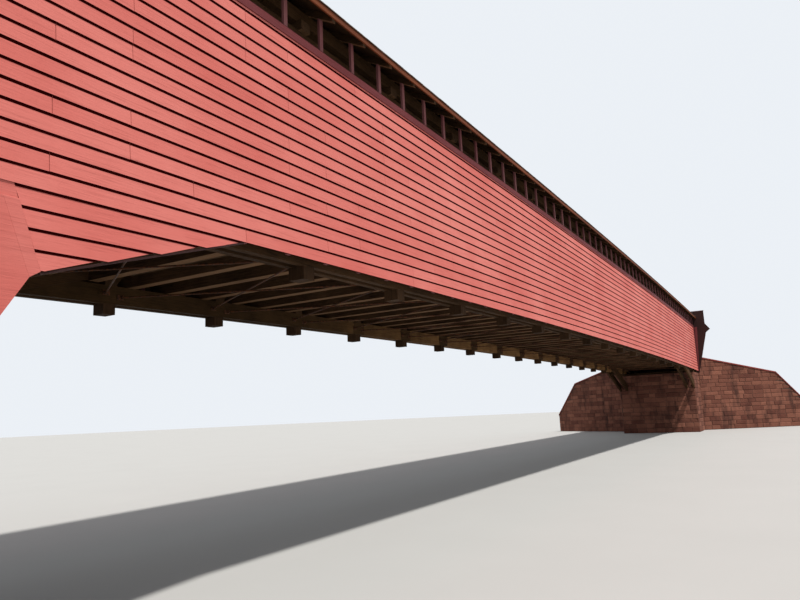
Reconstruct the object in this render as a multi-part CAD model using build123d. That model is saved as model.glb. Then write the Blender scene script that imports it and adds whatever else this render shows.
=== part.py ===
from build123d import *
import math
import os

# A timber covered bridge of one span, built at half size. All lengths are millimetres of the model.
# +X runs along the bridge to the far end, -Y is the photographed side, +Z is up.
# Heights named "above the siding" count from the siding's bottom edge, which follows the hump of the span.

panel = 1525.0                # distance between two truss posts
panels = 20                   # panels in the span
overhang = 0.2 * panel        # the house runs this far past the end posts
base_height = 2463.0          # siding's bottom edge above the abutments' feet, at the end posts
hump = 137.0                  # rise of the siding's bottom edge at mid span

wall_face = 1500.0            # outer face of the siding, from the centre line
board = 15.0                  # siding thickness
stud_depth = 25.0
stud_width = 45.0
stud_bays = 63                # counted along the eave strip
truss_line = 1300.0           # centre of each truss
post_width = 140.0            # along the bridge
post_depth = 200.0            # across the bridge
chord_gap = 70.0              # between the two timbers of a lower chord
foot_drop = 133.0             # post feet below the siding's edge
foot_depth = 160.0
chord_bottom = -25.0
chord_top = 165.0
beam_height = 120.0
beam_width = 110.0
deck_thick = 40.0
top_chord_height = 120.0
top_chord_width = 120.0
tie_height = 90.0
tie_width = 120.0
knee_drop = 550.0             # toe of a knee brace below the tie beams
knee_depth = 170.0            # a knee brace's cut end, along the post
knee_room = 75.0              # kept free of the arch above that end
plate_width = 100.0
brace_thick = 130.0
brace_drop = 190.0            # height of a brace measured along the post
arch_depth = 250.0
arch_inner = 75.0
arch_outer = 60.0
arch_spring = -600.0          # arch centre against the siding's edge at the end posts
abutment_reach = 0.85 * panel  # abutment face beyond the end post

siding_height = 1880.0
cap_height = 75.0             # above the siding's top
cap_lap = 25.0                # over the siding's face
cap_lip = 12.0
eave_gap = 300.0              # open strip between the cap and the rafters
roof_slope = 0.58
eave_overhang = 140.0         # edge board's face beyond the siding's face
rafter_drop = 70.0
roof_drop = 29.0
fascia_thick = 15.0
fascia_bite = 41.0            # edge board's lower edge above the rafters' underside

door_half = 1125.0            # half of the doorway, and of the clear roadway
portal_thick = 60.0
wing_foot = 1530.0            # half width of the front at its foot
wing_top = (1960.0, 1600.0)   # half width and height where the front's flared sides end
shoulder = (2130.0, 1730.0)
header_half = 1950.0
shoulder_top = 1980.0
step_halves = [header_half, 1230.0, 905.0, 300.0]
step_cover = 10.0             # least height of a step over the roof behind it
crest_rise = 240.0            # top step over the roof

seat_drop = 85.0              # abutment top below the siding's edge
abutment_half = wall_face - board - stud_depth
approach_length = 600.0
wing_thick = 300.0
wing_angle = 60.0             # away from the bridge's axis
wing_profile = [(0.0, 550.0), (3170.0, -213.0), (4455.0, -1693.0)]
coping_thick = 60.0
coping_width = 380.0

skirt_start = 2.422 * panel   # where the siding's edge begins to drop, from the near end post
skirt_tip = 1.45 * panel
skirt_drop = 402.0
apron_top = 1.312 * panel     # the apron's upper corner, and its tip beside the skirt's
apron_tip = 1.411 * panel
apron_drop = 440.0
apron_ledge = 45.0
apron_foot = 1330.0
apron_slope = 1.6
apron_proud = 10.0

span = panel * panels
x_near = -span / 2
x_far = span / 2
end_out = span / 2 + overhang
end_in = end_out - portal_thick
nodes = [x_near + panel * i for i in range(panels + 1)]
bay_points = [x_near + panel * (i + (2 * j + 1) / 6) for i in range(panels) for j in range(3)]
end_stud = end_in - stud_width / 2
stud_points = [-end_stud + 2 * end_stud * k / stud_bays for k in range(stud_bays + 1)]
stud_in = abutment_half
stud_out = stud_in + stud_depth
post_in = truss_line - post_depth / 2
post_out = truss_line + post_depth / 2
arch_in_face = post_in - arch_inner
arch_out_face = post_out + arch_outer
beam_top = chord_top + beam_height
deck_top = beam_top + deck_thick
cap_top = siding_height + cap_height
eave_line = cap_top + eave_gap
top_chord_bottom = cap_top + 45.0
tie_bottom = top_chord_bottom + top_chord_height
arch_crown = top_chord_bottom - arch_depth / 2 - 45.0
header_bottom = tie_bottom - 50.0
knee_toe = tie_bottom - knee_drop
knee_heel = knee_toe + knee_depth
knee_reach = knee_heel + knee_room
tie_top = tie_bottom + tie_height

os.makedirs("parts", exist_ok=True)


def level(x):
    """Height of the siding's bottom edge at x: straight from post to post, over a gentle hump."""
    i = min(max(math.floor((x - x_near) / panel), 0), panels - 1)
    ends = []
    for k in (i, i + 1):
        u = nodes[k] / (span / 2)
        ends.append(base_height + hump * (1 - u * u))
    t = (x - nodes[i]) / panel
    return ends[0] + (ends[1] - ends[0]) * t


def stations(x0, x1):
    """The two ends and every post line between them."""
    return [x0] + [n for n in nodes if x0 + 1e-6 < n < x1 - 1e-6] + [x1]


def solid_of(loops):
    """A solid from the corner loops of its flat faces."""
    faces = [Face(Wire.make_polygon([Vector(*p) for p in loop], close=True)) for loop in loops]
    return Solid(Shell(faces))


def side_plate(points, y0, y1):
    """A flat shape in the X-Z plane, made y0 to y1 thick."""
    wire = Wire.make_polygon([Vector(x, y0, z) for x, z in points], close=True)
    return Solid.extrude(Face(wire), Vector(0, y1 - y0, 0))


def end_plate(points, x0, x1):
    """A flat shape in the Y-Z plane, made x0 to x1 thick."""
    wire = Wire.make_polygon([Vector(x0, y, z) for y, z in points], close=True)
    return Solid.extrude(Face(wire), Vector(x1 - x0, 0, 0))


def strip(x0, x1, z0, z1, y0, y1):
    """A timber along the bridge that follows the hump."""
    xs = stations(x0, x1)
    top = [(x, level(x) + z1) for x in xs]
    low = [(x, level(x) + z0) for x in xs]
    return side_plate(low + top[::-1], y0, y1)


def run(profile, x0, x1):
    """A Y-Z profile carried along the bridge from x0 to x1, following the hump."""
    xs = stations(x0, x1)
    rings = [[(x, y, z + level(x)) for y, z in profile] for x in xs]
    loops = [rings[0], rings[-1]]
    count = len(profile)
    for a, b in zip(rings, rings[1:]):
        for k in range(count):
            m = (k + 1) % count
            loops.append([a[k], a[m], b[m], b[k]])
    return solid_of(loops)


def flat_bar(corners, z0, z1):
    """A bar drawn in plan inside one panel, its faces following the hump."""
    low = [(x, y, z0 + level(x)) for x, y in corners]
    top = [(x, y, z1 + level(x)) for x, y in corners]
    loops = [low, top]
    count = len(corners)
    for k in range(count):
        m = (k + 1) % count
        loops.append([low[k], low[m], top[m], top[k]])
    return solid_of(loops)


def standing_slab(plane, lift, points, thick):
    """An upright slab drawn on a plane that isn't square to the bridge."""
    corners = [plane.from_local_coords(Vector(a, lift * b, 0)) for a, b in points]
    half = plane.z_dir * (thick / 2)
    wire = Wire.make_polygon(corners, close=True)
    return Solid.extrude(Face(wire.translate(-half)), half * 2)


def flip(profile):
    return [(-y, z) for y, z in profile]


def rafter_line(y):
    return eave_line + roof_slope * (wall_face - abs(y))


def arch_level(x):
    """Centre of the arch at x, as a true height."""
    crown = level(0.0) + arch_crown
    foot = base_height + arch_spring
    half = span / 2 - abutment_reach
    return crown - (crown - foot) * (x / half) ** 2


def arch_half(x):
    crown = level(0.0) + arch_crown
    foot = base_height + arch_spring
    half = span / 2 - abutment_reach
    slope = 2 * (crown - foot) * abs(x) / half ** 2
    return arch_depth / 2 * math.sqrt(1 + slope * slope)


def arch_meets(x, z0, z1):
    """True where the arch passes the heights z0 to z1, given above the siding's edge."""
    low = arch_level(x) - arch_half(x) - level(x)
    high = arch_level(x) + arch_half(x) - level(x)
    return low < z1 and high > z0


def save(name, solids):
    shapes = list(solids)
    body = shapes[0] if len(shapes) == 1 else Compound(children=shapes)
    export_step(body, os.path.join("parts", name + ".step"))
    print(name, len(shapes), round(sum(s.volume for s in shapes) / 1e9, 4))


def stud_foot(x):
    """Lower end of a stud: at the siding's edge, or lower where the near end's boards drop."""
    near = x - x_near
    if near >= skirt_start:
        return 0.0
    edge = base_height - level(x)
    if near > skirt_tip:
        return -skirt_drop * (skirt_start - near) / (skirt_start - skirt_tip)
    fall = apron_drop + max(0.0, apron_tip - near) * apron_slope
    return edge - min(fall, apron_foot)


sides = {"front": -1, "back": 1}
ends = {"near": -1, "far": 1}

for end, d in ends.items():
    face = d * (span / 2 - abutment_reach)
    out = d * end_out
    tail = d * (end_out + approach_length)
    seat = base_height - seat_drop
    road = level(d * end_out) + deck_top
    block = Box(abs(out - face), 2 * abutment_half, seat, align=(Align.CENTER, Align.CENTER, Align.MIN))
    save("abutment_" + end, [Pos((out + face) / 2, 0, 0) * block])
    block = Box(approach_length, 2 * abutment_half, road, align=(Align.CENTER, Align.CENTER, Align.MIN))
    save("approach_" + end, [Pos((out + tail) / 2, 0, 0) * block])

    wings = []
    copings = []
    trim = Box(4 * span, 2 * abutment_half, span)
    for s in (-1, 1):
        away = math.radians(wing_angle)
        along = Vector(d * math.cos(away), s * math.sin(away), 0)
        start = Vector((out + tail) / 2, s * abutment_half, 0)
        plane = Plane(origin=start, x_dir=along, z_dir=Vector(along.Y, -along.X, 0))
        lift = 1 if plane.y_dir.Z > 0 else -1
        back = -wing_thick
        slope = (wing_profile[1][1] - wing_profile[0][1]) / wing_profile[1][0]
        crest = [(back, wing_profile[0][1] + slope * back)] + wing_profile[1:]
        crest = [(a, b + base_height) for a, b in crest]
        shape = [(back, 0.0), (crest[-1][0], 0.0)] + crest[::-1]
        band = crest + [(a, b + coping_thick) for a, b in crest[::-1]]
        wings.append((standing_slab(plane, lift, shape, wing_thick) - trim).solid())
        copings.append((standing_slab(plane, lift, band, coping_width) - trim).solid())
    save("wing_walls_" + end, wings)
    save("wing_copings_" + end, copings)

bolsters = []
for d in (-1, 1):
    for inset in (0.0, 0.7 * panel):
        x = d * (span / 2 - inset)
        xs = (x - 100, x + 100)
        profile = [(-abutment_half, 0), (abutment_half, 0)]
        low = base_height - seat_drop
        tops = [(v, level(v) + chord_bottom) for v in stations(*xs)]
        bolsters.append(side_plate([(xs[0], low), (xs[1], low)] + tops[::-1], -abutment_half, abutment_half))
save("bolsters", bolsters)

for side, s in sides.items():
    chord = []
    for y0, y1 in ((post_in, truss_line - chord_gap / 2), (truss_line + chord_gap / 2, post_out)):
        chord.append(strip(-end_in, end_in, chord_bottom, chord_top, s * y0, s * y1))
    save("lower_chord_" + side, chord)
    half = top_chord_width / 2
    save("upper_chord_" + side, [strip(-end_in, end_in, top_chord_bottom, tie_bottom,
                                       s * (truss_line - half), s * (truss_line + half))])

    posts = []
    for k, x in enumerate(nodes):
        neck = chord_gap / 2
        foot = foot_depth / 2
        wide = post_depth / 2
        profile = [(-wide, chord_top), (-wide, top_chord_bottom), (wide, top_chord_bottom), (wide, chord_top)]
        profile += [(neck, chord_top), (neck, chord_bottom)]
        if abs(x) < span / 2 - abutment_reach:
            profile += [(foot, chord_bottom), (foot, -foot_drop), (-foot, -foot_drop), (-foot, chord_bottom)]
        profile += [(-neck, chord_bottom), (-neck, chord_top)]
        profile = [(s * truss_line + y, z) for y, z in profile]
        posts.append(run(profile, x - post_width / 2, x + post_width / 2))
    save("posts_" + side, posts)

    braces = []
    for k in range(panels):
        a = nodes[k] + post_width / 2
        b = nodes[k + 1] - post_width / 2
        if k >= panels // 2:
            a, b = b, a
        shape = [(a, level(a) + chord_top), (a, level(a) + chord_top + brace_drop),
                 (b, level(b) + top_chord_bottom), (b, level(b) + top_chord_bottom - brace_drop)]
        braces.append(side_plate(shape, s * truss_line - brace_thick / 2, s * truss_line + brace_thick / 2))
    save("braces_" + side, braces)

    ribs = []
    half = span / 2 - abutment_reach
    cuts = 36
    xs = [-half + 2 * half * i / cuts for i in range(cuts + 1)]
    low = [(x, arch_level(x) - arch_half(x)) for x in xs]
    top = [(x, arch_level(x) + arch_half(x)) for x in xs]
    for y0, y1 in ((arch_in_face, post_in), (post_out, arch_out_face)):
        ribs.append(side_plate(low + top[::-1], s * y0, s * y1))
    save("arches_" + side, ribs)

beams = []
for x in [-end_in + beam_width] + bay_points + [end_in - beam_width]:
    reach = stud_in
    if any(arch_meets(x + dx, chord_top, beam_top) for dx in (-beam_width, beam_width)):
        reach = arch_in_face
    beams.append(strip(x - beam_width / 2, x + beam_width / 2, chord_top, beam_top, -reach, reach))
save("floor_beams", beams)
save("deck", [strip(-end_out, end_out, beam_top, deck_top, 5 - door_half, door_half - 5)])

low_bars = []
high_bars = []
rod = 20.0
lath = 60.0
for k in range(panels):
    a = nodes[k]
    b = nodes[k + 1]
    for turn in (-1, 1):
        reach = post_in
        inset = 100.0
        z0 = 40.0 + (rod if turn > 0 else 0.0)
        if any(arch_meets(v, 35.0, 100.0) for v in (a + inset, a + inset + 90, b - inset, b - inset - 90)):
            reach = arch_in_face
        if b > x_near + abutment_reach + panel * 0.5 and a < x_far - abutment_reach - panel * 0.5:
            corners = [(a + inset, -turn * reach), (a + inset + rod, -turn * reach),
                       (b - inset, turn * reach), (b - inset - rod, turn * reach)]
            low_bars.append(flat_bar(corners, z0, z0 + rod))
        reach = truss_line - top_chord_width / 2
        z0 = top_chord_bottom + 20.0 + (40.0 if turn > 0 else 0.0)
        corners = [(a + inset, -turn * reach), (a + inset + lath, -turn * reach),
                   (b - inset, turn * reach), (b - inset - lath, turn * reach)]
        high_bars.append(flat_bar(corners, z0, z0 + 40.0))
save("floor_rods", low_bars)
save("top_laterals", high_bars)

ties = [strip(x - tie_width / 2, x + tie_width / 2, tie_bottom, tie_top, -post_out, post_out) for x in nodes]
save("tie_beams", ties)

knees = []
for x in nodes:
    seat = post_in
    if arch_meets(x, knee_toe, knee_reach):
        seat = arch_in_face
    rise = post_in - seat
    for s in (-1, 1):
        profile = [(seat, knee_toe + rise), (seat, knee_heel + rise)]
        profile += [(post_in - tie_bottom + knee_heel, tie_bottom)]
        profile += [(post_in - tie_bottom + knee_toe, tie_bottom)]
        profile = [(s * y, z) for y, z in profile]
        knees.append(run(profile, x - 40, x + 40))
save("knee_braces", knees)

plates = []
for s in (-1, 1):
    a = truss_line - plate_width / 2
    b = truss_line + plate_width / 2
    profile = [(s * a, tie_top), (s * b, tie_top), (s * b, rafter_line(b)), (s * a, rafter_line(a))]
    plates.append(run(profile, -end_in, end_in))
save("raising_plates", plates)

for side, s in sides.items():
    edge = wall_face + eave_overhang
    tail = edge - fascia_thick
    rafters = []
    studs = []
    for x in stud_points:
        profile = [(0, rafter_line(0)), (s * tail, rafter_line(tail)),
                   (s * tail, rafter_line(tail) + rafter_drop), (0, rafter_line(0) + rafter_drop)]
        rafters.append(run(profile, x - stud_width / 2, x + stud_width / 2))
        foot = stud_foot(x)
        profile = [(s * stud_in, foot), (s * stud_out, foot),
                   (s * stud_out, rafter_line(stud_out)), (s * stud_in, rafter_line(stud_in))]
        studs.append(run(profile, x - stud_width / 2, x + stud_width / 2))
    save("rafters_" + side, rafters)
    save("studs_" + side, studs)

    low = rafter_drop
    top = rafter_drop + roof_drop
    profile = [(0, rafter_line(0) + low), (s * tail, rafter_line(tail) + low),
               (s * tail, rafter_line(tail) + top), (0, rafter_line(0) + top)]
    save("roof_" + side, [run(profile, -end_in, end_in)])
    profile = [(s * tail, rafter_line(edge) + fascia_bite), (s * edge, rafter_line(edge) + fascia_bite),
               (s * edge, rafter_line(edge) + top), (s * tail, rafter_line(tail) + top)]
    save("fascia_" + side, [run(profile, -end_in, end_in)])

    save("siding_" + side, [strip(-end_in, end_in, 0, siding_height, s * stud_out, s * wall_face)])
    lip = wall_face + cap_lip
    profile = [(s * stud_out, siding_height), (s * wall_face, siding_height),
               (s * wall_face, siding_height - cap_lap), (s * lip, siding_height - cap_lap),
               (s * lip, cap_top - cap_height / 2), (s * stud_out, cap_top)]
    save("cap_board_" + side, [run(profile, -end_in, end_in)])

    a = x_near + skirt_start
    ledge = base_height - apron_ledge
    tips = [(x_near + skirt_tip, base_height - skirt_drop), (x_near + apron_tip, base_height - apron_drop)]
    top = [(x, level(x)) for x in stations(-end_in, a)]
    shape = top + tips + [(x_near + apron_top, ledge), (-end_in, ledge)]
    save("skirt_" + side, [side_plate(shape, s * stud_out, s * wall_face)])

    floor_z = base_height - apron_foot
    foot_x = tips[1][0] - (tips[1][1] - floor_z) / apron_slope
    shape = [(-end_in, ledge), (x_near + apron_top, ledge), tips[1], (foot_x, floor_z), (-end_in, floor_z)]
    save("apron_" + side, [side_plate(shape, s * stud_out, s * (wall_face + apron_proud))])

ridge_half = 110.0
crown = rafter_drop + roof_drop
profile = [(-ridge_half, rafter_line(ridge_half) + crown), (0, rafter_line(0) + crown),
           (ridge_half, rafter_line(ridge_half) + crown), (ridge_half, rafter_line(ridge_half) + crown + 12),
           (0, rafter_line(0) + crown + 12), (-ridge_half, rafter_line(ridge_half) + crown + 12)]
save("ridge_cap", [run(profile, -end_in, end_in)])

corner = []
for d in (-1, 1):
    for s in (-1, 1):
        xs = sorted((d * end_in, d * (end_in - 120)))
        corner.append(strip(xs[0], xs[1], 0, siding_height - cap_lap, s * wall_face, s * (wall_face + board)))
save("corner_boards", corner)

for end, d in ends.items():
    x0 = d * end_in
    x1 = d * end_out
    foot = base_height - seat_drop
    jambs = []
    for s in (-1, 1):
        outline = [wing_top, shoulder, (header_half, shoulder_top), (header_half, header_bottom)]
        shape = [(door_half, foot), (wing_foot, foot)]
        shape += [(y, base_height + z) for y, z in outline] + [(door_half, base_height + header_bottom)]
        jambs.append(end_plate([(s * y, z) for y, z in shape], x0, x1))
    save("portal_jambs_" + end, jambs)
    right = [(header_half, header_bottom)]
    roof_over = rafter_drop + roof_drop + step_cover
    step_heights = [rafter_line(y) + roof_over for y in step_halves[1:]]
    step_heights.append(rafter_line(0) + roof_over + crest_rise)
    for k, top in enumerate(step_heights):
        right.append((step_halves[k], top))
        if k + 1 < len(step_heights):
            right.append((step_halves[k + 1], top))
    shape = right + flip(right)[::-1]
    save("portal_front_" + end, [end_plate([(y, z + base_height) for y, z in shape], x0, x1)])
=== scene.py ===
# %% [markdown]
# # A timber covered bridge, dressed
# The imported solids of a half-size covered bridge are the fixed frame of this scene. This script lays
# lap boards, shingles, planks and stones over them, gives every timber a finish of its own, and sets a
# camera low beside the near end, looking along the wall to the far abutment.
# Everything is in metres. +X runs to the far end, -Y is the long side seen first, +Z is up.

# %% Load the frame
import math
import random
import bmesh
import bpy
from mathutils import Matrix, Vector


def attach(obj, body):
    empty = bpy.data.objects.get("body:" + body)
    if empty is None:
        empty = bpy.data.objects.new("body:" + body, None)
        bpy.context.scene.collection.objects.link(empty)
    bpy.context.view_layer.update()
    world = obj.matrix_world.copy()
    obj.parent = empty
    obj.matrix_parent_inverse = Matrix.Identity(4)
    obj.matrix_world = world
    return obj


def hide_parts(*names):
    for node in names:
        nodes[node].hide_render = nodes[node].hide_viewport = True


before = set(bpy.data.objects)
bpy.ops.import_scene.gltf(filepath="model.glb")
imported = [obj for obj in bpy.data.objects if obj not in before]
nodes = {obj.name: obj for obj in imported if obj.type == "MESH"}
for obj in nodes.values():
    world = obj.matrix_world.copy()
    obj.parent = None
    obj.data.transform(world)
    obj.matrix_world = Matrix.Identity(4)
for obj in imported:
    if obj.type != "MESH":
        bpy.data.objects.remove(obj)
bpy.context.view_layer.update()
print("frame nodes:", len(nodes))

# %% [markdown]
# ## The bridge's own measures
# The wall's lower edge rises over a gentle hump, and it is straight from one truss post to the next.
# Nearly every piece follows that line, so it is written once as a function of x, and heights are then
# given above it. The numbers are the ones that the solids were built with.

# %% Measures
PANEL = 1.525
PANELS = 20
SPAN = PANELS * PANEL
BASE = 2.463
HUMP = 0.137
END_OUT = SPAN / 2 + 0.2 * PANEL
END_IN = END_OUT - 0.06
WALL = 1.5
POSTS = [-SPAN / 2 + PANEL * i for i in range(PANELS + 1)]
STUD_BAYS = 63
STUD_HALF = 0.0225
STUDS = [(END_IN - STUD_HALF) * (2 * k / STUD_BAYS - 1) for k in range(1, STUD_BAYS)]
UPWARD = Vector((0, 0, 1))


def level(x):
    """Height of the wall's lower edge at x."""
    i = min(max(math.floor((x + SPAN / 2) / PANEL), 0), PANELS - 1)
    a, b = (BASE + HUMP * (1 - (POSTS[k] / (SPAN / 2)) ** 2) for k in (i, i + 1))
    return a + (b - a) * (x - POSTS[i]) / PANEL


def stations(x0, x1):
    """Both ends of a long board and every post between them, where it has to bend."""
    return [x0] + [n for n in POSTS if x0 + 1e-4 < n < x1 - 1e-4] + [x1]


print("wall's lower edge:", round(level(0), 3), "m at mid span,", round(level(-END_IN), 3), "m at the end")

# %% [markdown]
# ## One way to make sawn pieces
# A board, a shingle and a stone are all a closed ring of corners carried from one place to the next.
# A plain cube scaled to size would do for one board, but a board that bends over the hump needs a ring
# at each post. So a heap of rings is gathered first and turned into one mesh at the end. Each piece of
# wood or stone also gets a tone between 0 and 1, which the finish reads to tell neighbours apart.
# The tones and every uneven width come from one seeded source of chance, so each run is alike.

# %% Rings of corners
chance = random.Random(7)


class Heap:
    """Corners, faces and tones of many small pieces that become one mesh."""

    def __init__(self):
        self.corners = []
        self.faces = []
        self.tones = []
        self.finish_of = []

    def loft(self, rings, sides=None):
        """Skin a row of rings and cap its ends. sides says which finish each side of a ring wears."""
        first = len(self.corners)
        count = len(rings[0])
        tone = chance.random()
        sides = sides or [0] * count
        for ring in rings:
            self.corners.extend(ring)
            self.tones.extend([tone] * count)
        for k in range(len(rings) - 1):
            a = first + k * count
            b = a + count
            for m in range(count):
                n = (m + 1) % count
                self.faces.append((a + m, a + n, b + n, b + m))
                self.finish_of.append(sides[m])
        self.finish_of.extend((sides[0], sides[0]))
        self.faces.append(tuple(range(first + count - 1, first - 1, -1)))
        last = first + (len(rings) - 1) * count
        self.faces.append(tuple(range(last, last + count)))


print("ready to gather rings")

# %% [markdown]
# A finished heap becomes one object. Its tones are stored on the mesh for the finishes, its faces are
# turned outward, and sawn edges can be eased with a narrow bevel, because no real edge is a knife. The
# object then rides on the bridge and may hide the plainer solid that it stands in front of.

# %% Heap to piece


def make_piece(heap, name, finish, hides=(), round_off=0.0):
    mesh = bpy.data.meshes.new(name)
    mesh.from_pydata([tuple(c) for c in heap.corners], [], heap.faces)
    tone = mesh.attributes.new("tone", "FLOAT", "POINT")
    tone.data.foreach_set("value", heap.tones)
    mesh.polygons.foreach_set("material_index", heap.finish_of)
    work = bmesh.new()
    work.from_mesh(mesh)
    bmesh.ops.recalc_face_normals(work, faces=work.faces)
    work.to_mesh(mesh)
    work.free()
    for one in finish if isinstance(finish, tuple) else (finish,):
        mesh.materials.append(one)
    made = bpy.data.objects.new(name, mesh)
    bpy.context.scene.collection.objects.link(made)
    if round_off:
        edge = made.modifiers.new("worn_edges", "BEVEL")
        edge.width = round_off
        edge.segments = 1
        edge.limit_method = "ANGLE"
    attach(made, "root")
    if hides:
        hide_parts(*hides)
    print(name, "faces:", len(heap.faces))


# %% [markdown]
# ## Building a finish from nodes
# Old paint and old timber are never one colour. Each finish mixes two or three tones by noise that is
# stretched along the grain, changes a little from piece to piece by the tone stored above, and uses
# finer noise for roughness and bump. Object coordinates are in metres here, because every mesh sits at
# the origin, so a noise scale reads as waves per metre on every piece alike.

# %% A new finish and its noise
GRAIN = {"x": (0.12, 3.0, 3.0), "y": (3.0, 0.12, 3.0), "z": (3.0, 3.0, 0.12)}


def start_finish(name):
    finish = bpy.data.materials.new(name)
    finish.use_nodes = True
    tree = finish.node_tree
    shader = tree.nodes["Principled BSDF"]
    place = tree.nodes.new("ShaderNodeTexCoord").outputs["Object"]
    return finish, tree, shader, place


def noise(tree, place, scale, stretch=(1, 1, 1), detail=4.0, rough=0.6):
    squeeze = tree.nodes.new("ShaderNodeMapping")
    squeeze.inputs["Scale"].default_value = stretch
    tree.links.new(place, squeeze.inputs["Vector"])
    made = tree.nodes.new("ShaderNodeTexNoise")
    made.inputs["Scale"].default_value = scale
    made.inputs["Detail"].default_value = detail
    made.inputs["Roughness"].default_value = rough
    tree.links.new(squeeze.outputs["Vector"], made.inputs["Vector"])
    return made.outputs["Fac"]


print("grain can run along", ", ".join(GRAIN))

# %% [markdown]
# Four small helpers join the noises. One spreads part of a noise's range over a new range, one mixes
# two colours, one does sums, and one reads the tone of each piece. With them a finish reads as a
# recipe, where the same nodes placed one by one would hide it in a long list of links.

# %% Mixing helpers


def spread(tree, value, low, high, to_low=0.0, to_high=1.0):
    made = tree.nodes.new("ShaderNodeMapRange")
    made.inputs["From Min"].default_value = low
    made.inputs["From Max"].default_value = high
    made.inputs["To Min"].default_value = to_low
    made.inputs["To Max"].default_value = to_high
    tree.links.new(value, made.inputs["Value"])
    return made.outputs["Result"]


def blend(tree, factor, one, two):
    made = tree.nodes.new("ShaderNodeMix")
    made.data_type = "RGBA"
    tree.links.new(factor, made.inputs["Factor"])
    for socket, colour in ((made.inputs[6], one), (made.inputs[7], two)):
        if isinstance(colour, tuple):
            socket.default_value = (*colour, 1.0)
        else:
            tree.links.new(colour, socket)
    return made.outputs[2]


def combine(tree, how, one, two=0.0):
    made = tree.nodes.new("ShaderNodeMath")
    made.operation = how
    for socket, value in zip(made.inputs, (one, two)):
        if isinstance(value, (int, float)):
            socket.default_value = value
        else:
            tree.links.new(value, socket)
    return made.outputs[0]


def piece_tone(tree):
    made = tree.nodes.new("ShaderNodeAttribute")
    made.attribute_name = "tone"
    return made.outputs["Fac"]


print("sums and mixes ready")

# %% [markdown]
# Every recipe ends alike. Its colour and roughness go to the shader, and its height goes through a bump
# node whose distance is the depth of the relief in metres. Colours are picked on screen, so they are
# turned into light before a shader gets them.

# %% Surface helpers


def scaled(tree, value, factor):
    return combine(tree, "MULTIPLY", value, factor)


def finish_surface(tree, shader, colour, roughness, height, distance):
    """Join a recipe's colour, roughness and height to the shader."""
    tree.links.new(colour, shader.inputs["Base Color"])
    tree.links.new(roughness, shader.inputs["Roughness"])
    made = tree.nodes.new("ShaderNodeBump")
    made.inputs["Distance"].default_value = distance
    tree.links.new(height, made.inputs["Height"])
    tree.links.new(made.outputs["Normal"], shader.inputs["Normal"])


def srgb(r, g, b):
    """A colour picked on screen, 0 to 255, as the light it stands for."""
    return tuple((c / 255 / 12.92) if c < 11 else ((c / 255 + 0.055) / 1.055) ** 2.4 for c in (r, g, b))


print("mid grey as light:", round(srgb(128, 128, 128)[0], 3))

# %% [markdown]
# Thin old paint lies on sawn wood. The sun fades it in broad patches, the grain shows through in
# streaks, and where a faded patch and a strong streak meet it has chipped down to the bare board. The
# chips are also a little lower than the paint. A plain red with one noise would look like plastic.

# %% Old paint


def painted(name, fresh, faded, bare, along="x", chips=0.68, gloss=0.15):
    finish, tree, shader, place = start_finish(name)
    patches = noise(tree, place, 0.9, detail=5.0)
    streaks = noise(tree, place, 22.0, GRAIN[along], detail=6.0, rough=0.7)
    fine = noise(tree, place, 160.0, GRAIN[along], detail=3.0)
    fade = combine(tree, "ADD", scaled(tree, patches, 0.9), scaled(tree, piece_tone(tree), 0.16))
    colour = blend(tree, spread(tree, fade, 0.3, 0.85), fresh, faded)
    dull = tuple(c * 0.62 for c in fresh)
    colour = blend(tree, spread(tree, streaks, 0.52, 0.75, 0.0, 0.55), colour, dull)
    worn = combine(tree, "MULTIPLY", spread(tree, streaks, chips, chips + 0.05),
                   spread(tree, patches, 0.5, 0.56))
    colour = blend(tree, worn, colour, bare)
    shader.inputs["Specular IOR Level"].default_value = gloss
    height = combine(tree, "SUBTRACT", combine(tree, "ADD", streaks, scaled(tree, fine, 0.4)), worn)
    roughness = spread(tree, streaks, 0.3, 0.8, 0.55, 0.85)
    finish_surface(tree, shader, colour, roughness, height, 0.0025)
    return finish


print("paint recipe ready")

# %% [markdown]
# Rough sawn timber that was never painted goes brown. Its recipe has long grain, dark knots, drying
# cracks and, where asked for, a paler colour on the faces that look down. That paler colour is painted
# light for the light thrown up under the beams. It reads which way a face looks, so one finish does for
# all the faces of a beam.

# %% Bare timber


def timber(name, dark, light, along="x", painted_underlight=0.0):
    finish, tree, shader, place = start_finish(name)
    patches = noise(tree, place, 1.7, detail=5.0)
    grain = noise(tree, place, 34.0, GRAIN[along], detail=7.0, rough=0.72)
    saw = noise(tree, place, 150.0, GRAIN[along], detail=2.0)
    knots = tree.nodes.new("ShaderNodeTexVoronoi")
    knots.inputs["Scale"].default_value = 2.6
    tree.links.new(place, knots.inputs["Vector"])
    mix = combine(tree, "ADD", scaled(tree, grain, 0.7), scaled(tree, patches, 0.45))
    mix = combine(tree, "ADD", mix, scaled(tree, piece_tone(tree), 0.25))
    colour = blend(tree, spread(tree, mix, 0.42, 0.9), dark, light)
    deep = tuple(c * 0.35 for c in dark)
    colour = blend(tree, spread(tree, knots.outputs["Distance"], 0.05, 0.0, 0.0, 0.8), colour, deep)
    cracks = spread(tree, grain, 0.6, 0.65)
    colour = blend(tree, scaled(tree, cracks, 0.5), colour, deep)
    # Painted light: faces that look down are made paler, for light thrown up from below.
    if painted_underlight:
        facing = tree.nodes.new("ShaderNodeSeparateXYZ")
        tree.links.new(tree.nodes.new("ShaderNodeNewGeometry").outputs["Normal"], facing.inputs[0])
        under = combine(tree, "MULTIPLY", spread(tree, facing.outputs["Z"], -0.4, -0.9, 0.0, painted_underlight), grain)
        colour = blend(tree, under, colour, tuple(min(1.0, c * 2.2) for c in light))
    shader.inputs["Specular IOR Level"].default_value = 0.06
    height = combine(tree, "SUBTRACT", combine(tree, "ADD", grain, scaled(tree, saw, 0.5)), cracks)
    finish_surface(tree, shader, colour, spread(tree, grain, 0.3, 0.8, 0.7, 0.95), height, 0.004)
    return finish


print("timber recipe ready")
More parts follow.
